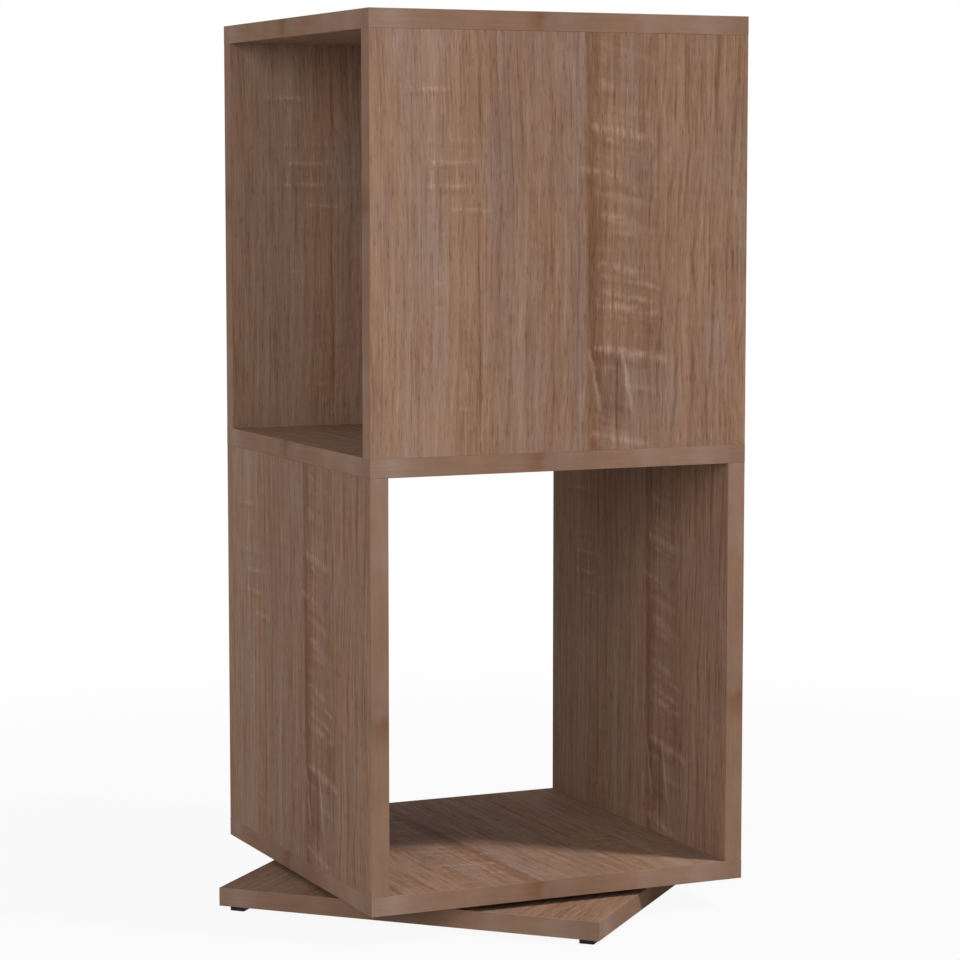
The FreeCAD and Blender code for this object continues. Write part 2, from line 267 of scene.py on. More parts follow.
# %% Helpers for printed patterns
def new_pattern(name):
    """An empty pattern group that turns a place on a board into a colour and a relief."""
    made = bpy.data.node_groups.new(name, "ShaderNodeTree")
    made.interface.new_socket("Place", in_out="INPUT", socket_type="NodeSocketVector")
    made.interface.new_socket("Colour", in_out="OUTPUT", socket_type="NodeSocketColor")
    made.interface.new_socket("Relief", in_out="OUTPUT", socket_type="NodeSocketFloat")
    return made, made.nodes.new("NodeGroupInput").outputs["Place"], made.nodes.new("NodeGroupOutput")


def grain(tree, place, wide, long, seed, detail=2.0):
    """Noise whose blots are so many millimetres wide across the grain and long along it."""
    counts = (board_side / (wide * MM), board_side / (long * MM), 0.0)
    sockets = {0: place, 1: counts, 2: (0.0, 0.0, seed)}
    drawn = add_node(tree, "VectorMath", sockets, operation="MULTIPLY_ADD")
    noise = add_node(tree, "TexNoise", {"Vector": drawn.outputs[0], "Scale": 1.0, "Detail": detail})
    return noise.outputs["Fac"]


def swing(tree, noise, size):
    """Noise moved to swing about zero, by so much."""
    return calc(tree, "MULTIPLY", calc(tree, "SUBTRACT", noise, 0.5), size)


def total(tree, *layers):
    """The sum of several layers."""
    made = layers[0]
    for layer in layers[1:]:
        made = calc(tree, "ADD", made, layer)
    return made


def product(tree, *layers):
    """Several layers multiplied."""
    made = layers[0]
    for layer in layers[1:]:
        made = calc(tree, "MULTIPLY", made, layer)
    return made


print("pattern helpers are ready, for a sheet of", round(board_side / MM), "mm")

# %% [markdown]
# Oak decor: the fibres
#
# The grain of a plank is never quite straight, so the place across is first bent by a slow drift and a
# quicker waver, which all fibres follow. Each layer is named by how wide and how long its fibres are.
# Pores and flecks are the peaks of a short, narrow noise.

# %% Start the decor group
decor, sheet, decor_out = new_pattern("sawn_oak_decor")
ways = add_node(decor, "SeparateXYZ", {0: sheet})
across, along = ways.outputs["X"], ways.outputs["Y"]
drift = swing(decor, grain(decor, sheet, wide=140, long=300, seed=1, detail=1.0), size=0.05)
waver = swing(decor, grain(decor, sheet, wide=30, long=80, seed=2, detail=1.0), size=0.010)
bent_across = total(decor, across, drift, waver)
fibre = add_node(decor, "CombineXYZ", {"X": bent_across, "Y": along}).outputs[0]

fine = grain(decor, fibre, wide=1.6, long=34, seed=3)
medium = grain(decor, fibre, wide=3.6, long=60, seed=4)
lengthy = grain(decor, fibre, wide=6, long=190, seed=5)
broad = grain(decor, fibre, wide=24, long=380, seed=6)
pit_noise = grain(decor, fibre, wide=1.2, long=13, seed=7, detail=1.0)
dash_noise = grain(decor, fibre, wide=1.3, long=18, seed=8, detail=1.0)
pores = fade(decor, pit_noise, start=0.56, end=0.70)
flecks = fade(decor, dash_noise, start=0.57, end=0.72)
print("four layers of fibres, with pores and flecks")

# %% [markdown]
# Oak decor: the strips
#
# The print shows a few planks side by side: a pale warm one on the left, a greyer one, and a browner
# one on the right. A colour ramp read across the board sets how light each place is, and a second one
# how grey. The place that they are read at leans a little and is frayed by the fibres, so that no strip
# ends in a ruled line.

# %% Lay the strips
def ramp(tree, value, stops, blend="LINEAR"):
    """A colour ramp with the given (place, tone or colour) stops."""
    made = add_node(tree, "ValToRGB", {"Fac": value})
    made.color_ramp.interpolation = blend
    points = made.color_ramp.elements
    points.remove(points[1])
    for k, (place, tone) in enumerate(stops):
        point = points[0] if k == 0 else points.new(place)
        point.position = place
        point.color = tone if isinstance(tone, tuple) else (tone, tone, tone, 1.0)
    return made.outputs["Color"]


plank_lean = 0.012
strip_tone_shares = [
    (0.00, 0.57), (0.07, 0.60), (0.16, 0.62), (0.22, 0.56), (0.27, 0.53), (0.29, 0.47), (0.37, 0.50),
    (0.45, 0.49), (0.51, 0.48), (0.55, 0.49), (0.60, 0.43), (0.70, 0.44), (0.79, 0.49), (0.86, 0.51),
    (0.93, 0.48), (1.00, 0.53),
]
strip_grey_shares = [
    (0.00, 0.15), (0.11, 0.45), (0.18, 0.50), (0.21, 0.05), (0.28, 0.00), (0.32, 0.75), (0.42, 0.35),
    (0.49, 0.30), (0.548, 0.90), (0.564, 0.10), (0.66, 0.20), (0.68, 0.60), (0.71, 0.20), (0.80, 0.15),
    (0.90, 0.25), (1.00, 0.20),
]
lean = product(decor, calc(decor, "SUBTRACT", along, 0.5), plank_lean)
frayed = [swing(decor, fine, size=0.010), swing(decor, lengthy, size=0.008)]
strip_place = total(decor, across, lean, *frayed)
strip_tone = ramp(decor, strip_place, strip_tone_shares)
strip_grey = ramp(decor, strip_place, strip_grey_shares)
print(len(strip_tone_shares), "tones from left to right")

# %% [markdown]
# Oak decor: the glue joint and the seam
#
# Right of the middle two planks meet in a glue joint, with a dark red-brown shadow behind it. Its width
# is uneven: the place past the joint is divided by a width that wavers along the board. Left of it, a
# thin dark seam shows only in the lower half.

# %% Draw the joint and the seam
joint_share = 0.560
shadow_width_share = 0.058
seam_share = 0.279
seam_half_width = 0.005

past_joint = calc(decor, "SUBTRACT", strip_place, joint_share)
uneven = swing(decor, grain(decor, sheet, wide=400, long=60, seed=9), size=0.05)
into_shadow = calc(decor, "DIVIDE", past_joint, total(decor, shadow_width_share, uneven))
shadow_begins = fade(decor, past_joint, start=-0.003, end=0.012)
shadow = product(decor, shadow_begins, fade(decor, into_shadow, start=1.0, end=0.2))

off_seam = calc(decor, "ABSOLUTE", calc(decor, "SUBTRACT", strip_place, seam_share))
low_on_board = fade(decor, along, start=0.66, end=0.36)
seam = product(decor, fade(decor, off_seam, start=seam_half_width, end=0.0), low_on_board)
print("glue joint at", joint_share, "and seam at", seam_share, "of the width")

# %% [markdown]
# Oak decor: a comb of saw marks
#
# The decor imitates rough-sawn oak: pale strokes where the saw crossed the fibres, each with a faint
# shade under it. A ramp with peaks works as a comb, with one peak for each pass of the saw, and two
# more ramps, read at the same height, say where each stroke begins and ends. Each fibre moves its
# stroke a little up or down, which gives the ragged look that a straight stripe would lack.

# %% Helpers for saw marks
shade_drop = 1.7
shade_weight = 0.35
left_fade = 0.025
right_fade = 0.05


def comb(height, strokes, half_width):
    """A pale peak for each stroke, with a faint shade under it."""
    peaks = []
    for place, _, _, strength in strokes:
        peaks += [(place - half_width, 0.0), (place, strength), (place + half_width, 0.0)]
    pale = ramp(decor, height, peaks, blend="EASE")
    shade = ramp(decor, calc(decor, "ADD", height, shade_drop * half_width), peaks, blend="EASE")
    return calc(decor, "SUBTRACT", pale, product(decor, shade, shade_weight))


def within_ends(height, strokes, seed):
    """1 between the left and the right end of the stroke at each height, frayed at both."""
    heights, left_ends, right_ends, _ = zip(*strokes)
    zones = [0.0] + [(low + high) / 2 for low, high in zip(heights, heights[1:])]
    left = ramp(decor, height, list(zip(zones, left_ends)), blend="CONSTANT")
    right = ramp(decor, height, list(zip(zones, right_ends)), blend="CONSTANT")
    reach = total(decor, across, swing(decor, grain(decor, sheet, wide=150, long=8, seed=seed), size=0.06))
    begun = fade(decor, reach, left, calc(decor, "ADD", left, left_fade))
    ended = fade(decor, reach, right, calc(decor, "SUBTRACT", right, right_fade))
    return product(decor, begun, ended)


def saw_marks(strokes, half_width, slope, ragged, seed):
    """Pale strokes across the fibres: (height, left end, right end, strength), the lowest first."""
    fall = product(decor, calc(decor, "SUBTRACT", across, joint_share), slope)
    wobble = swing(decor, grain(decor, sheet, wide=30, long=25, seed=seed, detail=1.0), size=ragged)
    height = total(decor, along, fall, wobble, swing(decor, fine, size=1.5 * ragged))
    broken = fade(decor, medium, start=0.28, end=0.58)
    patchy = fade(decor, grain(decor, sheet, wide=20, long=10, seed=seed + 2), start=0.32, end=0.56)
    pale = product(decor, comb(height, strokes, half_width), within_ends(height, strokes, seed + 1))
    return product(decor, pale, broken, patchy), height


print("a stroke's shade lies", shade_drop, "half widths under it")

# %% [markdown]
# Oak decor: the saw marks
#
# Left of the joint the strokes are thin and level. Right of it they are broad, fall to the right and
# have finer strands between them. A last layer of faint strokes fills the sawn strip: noise drawn out
# the other way, across the fibres, along the same falling height.

# %% Draw the saw marks
def band(tree, value, rise, drop):
    """1 between a rise and a drop, each given by the places where it starts and ends."""
    return product(tree, fade(tree, value, rise[0], rise[1]), fade(tree, value, drop[1], drop[0]))


thin_stroke_shares = [
    (0.110, 0.22, 0.29, 0.6), (0.350, 0.16, 0.22, 0.4), (0.408, 0.14, 0.21, 0.5), (0.525, 0.15, 0.23, 0.4),
    (0.580, 0.19, 0.32, 0.8), (0.636, 0.13, 0.27, 0.9), (0.692, 0.13, 0.30, 1.0), (0.743, 0.12, 0.30, 0.5),
    (0.862, 0.08, 0.23, 0.8),
]
broad_stroke_shares = [
    (0.044, 0.56, 0.76, 0.9), (0.259, 0.58, 0.80, 1.0), (0.364, 0.57, 0.78, 1.0), (0.456, 0.575, 0.73, 0.8),
    (0.575, 0.585, 0.71, 0.8), (0.674, 0.535, 0.70, 1.0), (0.785, 0.545, 0.74, 1.0),
    (0.892, 0.585, 0.67, 0.7),
]
strand_stroke_shares = [
    (0.020, 0.58, 0.78, 0.7), (0.338, 0.60, 0.78, 0.6), (0.392, 0.58, 0.76, 0.7), (0.430, 0.59, 0.78, 0.8),
    (0.543, 0.62, 0.72, 0.6), (0.655, 0.66, 0.78, 0.9), (0.757, 0.59, 0.71, 0.9),
]
falling = {"slope": 0.20, "ragged": 0.014}
thin_marks, _ = saw_marks(thin_stroke_shares, half_width=0.008, slope=0.0, ragged=0.008, seed=11)
broad_marks, stroke_height = saw_marks(broad_stroke_shares, half_width=0.016, **falling, seed=14)
strand_marks, _ = saw_marks(strand_stroke_shares, half_width=0.009, **falling, seed=41)

stroke_place = add_node(decor, "CombineXYZ", {"X": across, "Y": stroke_height}).outputs[0]
faint_noise = grain(decor, stroke_place, wide=50, long=11, seed=17)
sawn_strip = band(decor, across, rise=(0.56, 0.60), drop=(0.70, 0.80))
faint_strokes = product(decor, fade(decor, faint_noise, start=0.52, end=0.66), sawn_strip)
print(len(thin_stroke_shares), "thin strokes,", len(broad_stroke_shares), "broad ones and their strands")

# %% [markdown]
# Oak decor: the torn wedge
#
# Low on the board, beside the joint, the saw tore out a wedge: a dark patch between two pale slanting
# lines, under the lowest long stroke. Its own coordinate makes the slant: the place past the joint,
# moved to the right as it goes down, so that whatever is drawn upright in it leans. Under the wedge
# lies a small chipped patch.

# %% Draw the torn wedge
wedge_top = 0.245
wedge_slant = 0.19
wedge_line_shares = [
    (0.001, 0.0), (0.007, 0.8), (0.013, 0.0), (0.088, 0.0), (0.095, 1.0), (0.102, 0.0),
]
sunk = calc(decor, "SUBTRACT", wedge_top, along)
leaning = calc(decor, "SUBTRACT", past_joint, product(decor, sunk, wedge_slant))
slanted = total(decor, leaning, swing(decor, grain(decor, sheet, wide=40, long=14, seed=26), size=0.02))
under_stroke = fade(decor, stroke_height, start=0.255, end=0.235)
wedge_reach = product(decor, under_stroke, fade(decor, along, start=0.06, end=0.13))
wedge = product(decor, band(decor, slanted, rise=(0.008, 0.020), drop=(0.070, 0.098)), wedge_reach)
unbroken = fade(decor, medium, start=0.15, end=0.45)
wedge_lines = product(decor, ramp(decor, slanted, wedge_line_shares), wedge_reach, unbroken)

chip_width = band(decor, past_joint, rise=(0.03, 0.05), drop=(0.105, 0.125))
chip_height = band(decor, stroke_height, rise=(0.060, 0.075), drop=(0.115, 0.135))
chipped = product(decor, chip_width, chip_height)
print("wedge from", wedge_top, "of the height down")

# %% [markdown]
# Oak decor: the flame grain
#
# On the right the rings were cut flat and show as long wavering lines: a sine of the place across, bent
# by noise, of which only the crests are kept. Single dark fibres run over the whole board, and the foot
# of the sawn strip has a mauve cast.

# %% Draw the flame grain
flame_lines = 25.0
flame_lean = 0.04

bend_far = swing(decor, grain(decor, sheet, wide=100, long=260, seed=21, detail=1.0), size=0.10)
bend_near = swing(decor, grain(decor, sheet, wide=35, long=90, seed=22), size=0.04)
bend_up = product(decor, fade(decor, along, start=0.35, end=1.0), -flame_lean)
phase = product(decor, total(decor, across, bend_far, bend_near, bend_up), flame_lines * 2 * math.pi)
crests = fade(decor, calc(decor, "SINE", phase), start=0.60, end=1.0)
flat_cut = fade(decor, across, start=0.66, end=0.80)
gap_noise = grain(decor, fibre, wide=11, long=70, seed=25, detail=1.0)
flame = product(decor, crests, flat_cut, fade(decor, gap_noise, start=0.40, end=0.58))

line_noise = grain(decor, fibre, wide=2.6, long=120, seed=27, detail=1.0)
dark_lines = fade(decor, line_noise, start=0.60, end=0.70)
foot_width = band(decor, across, rise=(0.56, 0.60), drop=(0.74, 0.90))
mauve_foot = product(decor, foot_width, fade(decor, stroke_height, start=0.30, end=0.20))
print("flame grain with", flame_lines, "lines to a board")

# %% [markdown]
# Oak decor: adding it up
#
# All layers add up to one tone, each with a weight of its own: the fibres swing both ways, and the
# marks make the board paler or, below zero, darker. Two ramps turn that tone into a warm and into a
# greyish brown, and the strips' greyness, with some drift along the fibres, mixes the two.

# %% Finish the decor group
fibre_weights = [(fine, 0.27), (medium, 0.35), (lengthy, 0.36), (broad, 0.30)]
mark_weights = [
    (pores, -0.16), (flecks, 0.12), (shadow, -0.19), (seam, -0.26), (thin_marks, 0.26), (broad_marks, 0.30),
    (strand_marks, 0.26), (faint_strokes, 0.08), (wedge, -0.15), (wedge_lines, 0.38), (chipped, -0.12),
    (flame, -0.16), (dark_lines, -0.12), (mauve_foot, 0.02),
]
mauve_weight = 0.25
pore_depth = 0.6

fibre_layers = [swing(decor, layer, weight) for layer, weight in fibre_weights]
mark_layers = [product(decor, layer, weight) for layer, weight in mark_weights]
tone = total(decor, strip_tone, *fibre_layers, *mark_layers)
warm_oak = ramp(decor, tone, [
    (0.0, paint(97, 65, 47)), (0.3, paint(123, 90, 70)), (0.5, paint(141, 109, 88)),
    (0.75, paint(158, 129, 108)), (1.0, paint(182, 158, 138)),
])
grey_oak = ramp(decor, tone, [
    (0.0, paint(92, 68, 57)), (0.3, paint(119, 93, 80)), (0.5, paint(137, 111, 97)),
    (0.75, paint(154, 131, 117)), (1.0, paint(178, 158, 146)),
])
narrow_drift = swing(decor, grain(decor, fibre, wide=13, long=130, seed=23), size=1.6)
wide_drift = swing(decor, grain(decor, fibre, wide=45, long=70, seed=24), size=1.2)
set_grey = total(decor, strip_grey, product(decor, mauve_foot, mauve_weight))
greyness = calc(decor, "ADD", set_grey, total(decor, narrow_drift, wide_drift), clamp=True)
feed(decor, decor_out.inputs["Colour"], mix(decor, greyness, warm_oak, grey_oak))
feed(decor, decor_out.inputs["Relief"], calc(decor, "SUBTRACT", fine, product(decor, pores, pore_depth)))
print("decor group with", len(decor.nodes), "nodes")

# %% [markdown]
# Boards: decor outside, chips inside
#
# Only the two large faces of a board carry the print. Where a saw or a drill cut it, the pressed wood
# chips show. The face's own direction tells them apart, and also turns the print round on the far face,
# which would else be mirrored. A Mapping node turns the sheet so that its grain runs the way that board
# was cut, and centres it.

# %% Helper for a board's finish
board_gloss = 0.02
sheen_levels = (0.74, 0.56)
print_relief = 0.4 * MM
chip_size = 2 * MM


def turned_place(tree, node, first, second, unit):
    """Object coordinates turned to run along two directions, in units, from the piece's middle."""
    turn = Matrix((first, second, first.cross(second)))
    low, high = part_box(node)
    centre = turn @ ((low + high) / 2) / unit
    place = add_node(tree, "TexCoord").outputs["Object"]
    inputs = {"Vector": place, "Location": -centre, "Rotation": turn.to_euler(), "Scale": (1 / unit,) * 3}
    return add_node(tree, "Mapping", inputs).outputs[0]


def raise_print(tree, shader, height, strength, distance):
    """Let a pattern stand out a little from the surface."""
    bump = {"Height": height, "Strength": strength, "Distance": distance}
    feed(tree, shader.inputs["Normal"], add_node(tree, "Bump", bump).outputs[0])


def board_finish(node, across_way, along_way):
    """Decor on the faces of one board, raw chips on its cuts."""
    made, tree, shader = new_finish("oak_" + node, roughness=0.55, gloss=board_gloss)
    place = turned_place(tree, node, across_way, along_way, board_side)
    normals = {0: add_node(tree, "TexCoord").outputs["Normal"], 1: across_way.cross(along_way)}
    facing = add_node(tree, "VectorMath", normals, operation="DOT_PRODUCT").outputs["Value"]
    right_way_round = add_node(tree, "CombineXYZ", {"X": calc(tree, "SIGN", facing), "Y": 1.0}).outputs[0]
    from_corner = {0: place, 1: right_way_round, 2: (0.5, 0.5, 0.0)}
    print_place = add_node(tree, "VectorMath", from_corner, operation="MULTIPLY_ADD").outputs[0]
    oak = add_node(tree, "Group", node_tree=decor)
    feed(tree, oak.inputs["Place"], print_place)

    chip = add_node(tree, "TexVoronoi", {"Vector": place, "Scale": board_side / chip_size})
    chips = ramp(tree, chip.outputs["Color"], [(0.2, paint(128, 99, 70)), (0.8, paint(172, 142, 104))])
    on_face = fade(tree, calc(tree, "ABSOLUTE", facing), start=0.5, end=0.8)
    feed(tree, shader.inputs["Base Color"], mix(tree, on_face, chips, oak.outputs["Colour"]))
    feed(tree, shader.inputs["Roughness"], between(tree, oak.outputs["Relief"], *sheen_levels))
    raise_print(tree, shader, oak.outputs["Relief"], strength=0.08, distance=print_relief)
    return made


print("boards show chips of", round(chip_size / MM, 1), "mm where they are cut")

# %% [markdown]
# Boards: which way the grain runs
#
# Each board is given by the way across its grain and the way along it. The walls' grain stands upright,
# with the print's foot at the bottom. On the level boards it runs from front to back, and on the base
# along one of its own sides.

# %% Finish the boards
def dress(node, finish):
    """Give a piece of the construction its finish."""
    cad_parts[node].material_slots[0].material = finish


X, Y, Z = Vector((1, 0, 0)), Vector((0, 1, 0)), Vector((0, 0, 1))
base_along = Vector((math.cos(base_turn), math.sin(base_turn), 0))
base_across = Vector((math.sin(base_turn), -math.cos(base_turn), 0))
board_grain = {
    "upper_front_panel": (X, Z), "upper_back_panel": (X, Z),
    "lower_left_panel": (-Y, Z), "lower_right_panel": (-Y, Z),
    "top_panel": (X, Y), "middle_shelf": (X, Y), "bottom_panel": (-X, -Y),
    "base_panel": (base_across, base_along),
}
for node, (across_way, along_way) in board_grain.items():
    dress(node, board_finish(node, across_way, along_way))
print(len(board_grain), "boards finished")

# %% [markdown]
# Edging: the print
#
# Every cut edge that shows is covered by a strip of the same oak, cut from a roll. Its print runs along
# the strip and is softer than the boards': pale and greyish at its start, then warm brown, darkest at a
# plank joint before the middle, and paler again towards its end. Two ramps that are read along the roll
# set how light and how grey each place is. Clouds and faint lines keep it from looking like a smooth
# gradient.

# %% Draw the edging's print
roll_tone_shares = [
    (0.00, 0.54), (0.06, 0.62), (0.11, 0.47), (0.17, 0.41), (0.22, 0.45), (0.30, 0.41), (0.39, 0.41),
    (0.437, 0.20), (0.455, 0.36), (0.50, 0.43), (0.58, 0.40), (0.69, 0.44), (0.71, 0.53), (0.83, 0.51),
    (0.89, 0.58), (0.96, 0.41), (1.00, 0.43),
]
roll_grey_shares = [
    (0.00, 0.70), (0.09, 0.65), (0.17, 0.30), (0.30, 0.20), (0.38, 0.35), (0.42, 0.00), (0.445, 0.00),
    (0.455, 0.55), (0.51, 0.50), (0.56, 0.35), (0.68, 0.20), (0.71, 0.55), (0.82, 0.40), (0.90, 0.65),
    (1.00, 0.35),
]
edging, roll_place, edging_out = new_pattern("oak_edging_decor")
along_roll = add_node(edging, "SeparateXYZ", {0: roll_place}).outputs["Y"]
patches = grain(edging, roll_place, wide=30, long=42, seed=31)
clouds = grain(edging, roll_place, wide=11, long=17, seed=32)
lines = grain(edging, roll_place, wide=1.8, long=80, seed=33)
print_edge = total(edging, along_roll, swing(edging, clouds, size=0.02))
layers = [swing(edging, layer, weight) for layer, weight in [(patches, 0.15), (clouds, 0.22), (lines, 0.18)]]
tone = total(edging, ramp(edging, print_edge, roll_tone_shares), *layers)
warm_edge = ramp(edging, tone, [
    (0.0, paint(104, 73, 54)), (0.5, paint(141, 109, 87)), (1.0, paint(172, 143, 118)),
])
grey_edge = ramp(edging, tone, [
    (0.0, paint(102, 78, 67)), (0.5, paint(137, 112, 100)), (1.0, paint(166, 144, 131)),
])
patch_hue = swing(edging, grain(edging, roll_place, wide=40, long=60, seed=34), size=0.5)
greyness = calc(edging, "ADD", ramp(edging, print_edge, roll_grey_shares), patch_hue, clamp=True)
feed(edging, edging_out.inputs["Colour"], mix(edging, greyness, warm_edge, grey_edge))
feed(edging, edging_out.inputs["Relief"], lines)
print(len(roll_tone_shares), "tones along the roll")

# %% [markdown]
# Edging: the strips
#
# One network serves all strips of a board. A strip lies half a board from the middle, so adding the two
# directions of the board and keeping the fraction gives its own length from 0 to 1. A level strip shows
# the whole print. On the upright ones it is drawn out, so that they show only the middle of it.

# %% Finish the edging
whole_print = (0.0, 1.0)
middle_of_print = (0.14, 0.72)


def edging_finish(node, run_way, out_way, roll_stretch):
    """The strips of one board, which show a stretch of the roll, given by its start and length."""
    roll_start, roll_length = roll_stretch
    made, tree, shader = new_finish("oak_" + node, roughness=0.66, gloss=board_gloss)
    ways = add_node(tree, "SeparateXYZ", {0: turned_place(tree, node, run_way, out_way, board_side)}).outputs
    run = calc(tree, "FRACT", total(tree, 1.0, ways["X"], ways["Y"]))
    along_roll = calc(tree, "MULTIPLY_ADD", run, roll_length, roll_start)
    oak = add_node(tree, "Group", node_tree=edging)
    place = add_node(tree, "CombineXYZ", {"X": ways["Z"], "Y": along_roll})
    feed(tree, oak.inputs["Place"], place.outputs[0])
    feed(tree, shader.inputs["Base Color"], oak.outputs["Colour"])
    raise_print(tree, shader, oak.outputs["Relief"], strength=0.06, distance=print_relief)
    return made


edging_runs = {
    "upper_front_panel": (-Z, X, middle_of_print), "upper_back_panel": (-Z, X, middle_of_print),
    "lower_left_panel": (Z, Y, middle_of_print), "lower_right_panel": (Z, Y, middle_of_print),
    "top_panel": (X, -Y, whole_print), "middle_shelf": (X, -Y, whole_print),
    "bottom_panel": (X, -Y, whole_print), "base_panel": (base_across, base_along, whole_print),
}
for board, how in edging_runs.items():
    node = board + "_edging"
    dress(node, edging_finish(node, *how))
print(len(edging_runs), "sets of edging strips finished")

# %% [markdown]
# Metal and plastic
#
# The balls of the swivel are polished, the screws plated, the ball cage is milky nylon, and the feet
# and caps are moulded plastic with a fine skin. Each could be one flat colour. A little noise in the
# colour, the roughness and the bump is what makes them look like a material.

# %% Mix the plain finishes
skin_relief = 0.2 * MM


def noise_of(tree, blot):
    """Even noise on the piece, with blots so many millimetres wide."""
    place = add_node(tree, "TexCoord").outputs["Object"]
    noise = add_node(tree, "TexNoise", {"Vector": place, "Scale": 1 / (blot * MM), "Detail": 3.0})
    return noise.outputs["Fac"]


def plain_finish(name, dark, light, blot, rough, metal=0.0, relief=0.0, gloss=0.5):
    """A finish that varies by noise in colour, in relief and between two levels of roughness."""
    made, tree, shader = new_finish(name, rough[0], gloss)
    shader.inputs["Metallic"].default_value = metal
    feed(tree, shader.inputs["Base Color"], ramp(tree, noise_of(tree, blot), [(0.3, dark), (0.7, light)]))
    feed(tree, shader.inputs["Roughness"], between(tree, noise_of(tree, 2.5 * blot), *rough))
    raise_print(tree, shader, noise_of(tree, 0.5 * blot), strength=relief, distance=skin_relief)
    return made


screw_steel = plain_finish(
    "screw_steel", dark=paint(178, 180, 184), light=paint(206, 207, 209), blot=1.5, rough=(0.24, 0.40),
    metal=1.0, relief=0.05,
)
ball_steel = plain_finish(
    "ball_steel", dark=paint(208, 209, 211), light=paint(222, 223, 224), blot=3.0, rough=(0.06, 0.12),
    metal=1.0,
)
nylon = plain_finish(
    "cage_nylon", dark=paint(214, 209, 196), light=paint(228, 224, 213), blot=6.0, rough=(0.40, 0.52),
    relief=0.06,
)
foot_plastic = plain_finish(
    "foot_plastic", dark=paint(11, 11, 12), light=paint(19, 19, 20), blot=0.8, rough=(0.50, 0.66),
    relief=0.20, gloss=0.2,
)
cap_plastic = plain_finish(
    "cap_plastic", dark=paint(128, 98, 79), light=paint(144, 114, 95), blot=1.6, rough=(0.50, 0.62),
    relief=0.12, gloss=0.2,
)
print("five finishes for metal and plastic")

# %% [markdown]
# Zinc and beech
#
# Two finishes need a pattern of their own. The swivel's plates are pressed sheet with a zinc coat,
# which shows faint crystals: a Voronoi texture gives each cell its own grey. The dowels are beech, with
# fibres along their length, so their noise is drawn out upright.

# %% Mix the zinc and the beech
crystals_per_metre = 140.0
fibres_across = 1400.0
fibres_along = 90.0

zinc_sheet, tree, shader = new_finish("zinc_sheet", roughness=0.38)
shader.inputs["Metallic"].default_value = 1.0
place = add_node(tree, "TexCoord").outputs["Object"]
crystal = add_node(tree, "TexVoronoi", {"Vector": place, "Scale": crystals_per_metre}).outputs["Color"]
zinc_greys = [(0.1, paint(176, 179, 182)), (0.9, paint(205, 207, 209))]
feed(tree, shader.inputs["Base Color"], ramp(tree, crystal, zinc_greys))
feed(tree, shader.inputs["Roughness"], between(tree, crystal, low=0.30, high=0.46))

beech, tree, shader = new_finish("beech", roughness=0.62)
place = add_node(tree, "TexCoord").outputs["Object"]
upright = {"Vector": place, "Scale": (fibres_across, fibres_across, fibres_along)}
drawn = add_node(tree, "Mapping", upright).outputs[0]
fibres = add_node(tree, "TexNoise", {"Vector": drawn, "Scale": 1.0, "Detail": 3.0}).outputs["Fac"]
beech_browns = [(0.3, paint(189, 148, 108)), (0.65, paint(220, 186, 146))]
feed(tree, shader.inputs["Base Color"], ramp(tree, fibres, beech_browns))
raise_print(tree, shader, fibres, strength=0.15, distance=skin_relief)

swivel_finishes = {
    "swivel_lower_plate": zinc_sheet, "swivel_upper_plate": zinc_sheet,
    "swivel_balls": ball_steel, "swivel_ball_cage": nylon,
}
for node, finish in swivel_finishes.items():
    dress(node, finish)
print(len(swivel_finishes), "pieces of the swivel finished")

# %% [markdown]
# Working by hand, in code
#
# The small pieces are modelled the way you would in the window: add a primitive, go into edit mode,
# pick faces or edges, and extrude, inset or bevel them. Picking is by place or direction, because a
# script can't click.

# %% Helpers for edit mode
def open_piece(name):
    """Name the primitive that was just added and go into edit mode."""
    piece = bpy.context.active_object
    piece.name = name
    bpy.ops.object.mode_set(mode="EDIT")
    return piece


def pick(piece, kind, test):
    """In edit mode, select the faces or edges that pass a test, and nothing else."""
    bpy.ops.mesh.select_mode(type=kind)
    bpy.ops.mesh.select_all(action="DESELECT")
    mesh = bmesh.from_edit_mesh(piece.data)
    items = mesh.faces if kind == "FACE" else mesh.edges
    for item in items:
        if test(item):
            item.select_set(True)
    bmesh.update_edit_mesh(piece.data)


def close_piece(piece, angle=35):
    """Merge doubles, turn all faces outwards, leave edit mode and smooth the round stretches."""
    bpy.ops.mesh.select_all(action="SELECT")
    bpy.ops.mesh.remove_doubles(threshold=0.001 * MM)
    bpy.ops.mesh.normals_make_consistent(inside=False)
    bpy.ops.object.mode_set(mode="OBJECT")
    bpy.ops.object.shade_smooth_by_angle(angle=math.radians(angle))


print("edit mode helpers are ready")

# %% [markdown]
# Cutting and copying
#
# A recess is cut by a tool, with a Boolean modifier that is applied at once. Every piece is made once
# about the origin, as a master, then copied to where the construction says and joined to one object for
# each set. The place ends up in the mesh, so that the finished object sits at the origin.

# %% Helpers for cutting and copying
def cut_or_join(piece, tool, operation):
    """Cut a tool out of a piece, or weld it on, and throw the tool away."""
    bpy.ops.object.select_all(action="DESELECT")
    bpy.context.view_layer.objects.active = piece
    piece.select_set(True)
    boolean = piece.modifiers.new("boolean", "BOOLEAN")
    boolean.operation = operation
    boolean.solver = "EXACT"
    boolean.object = tool
    bpy.ops.object.modifier_apply(modifier=boolean.name)
    bpy.data.objects.remove(tool)


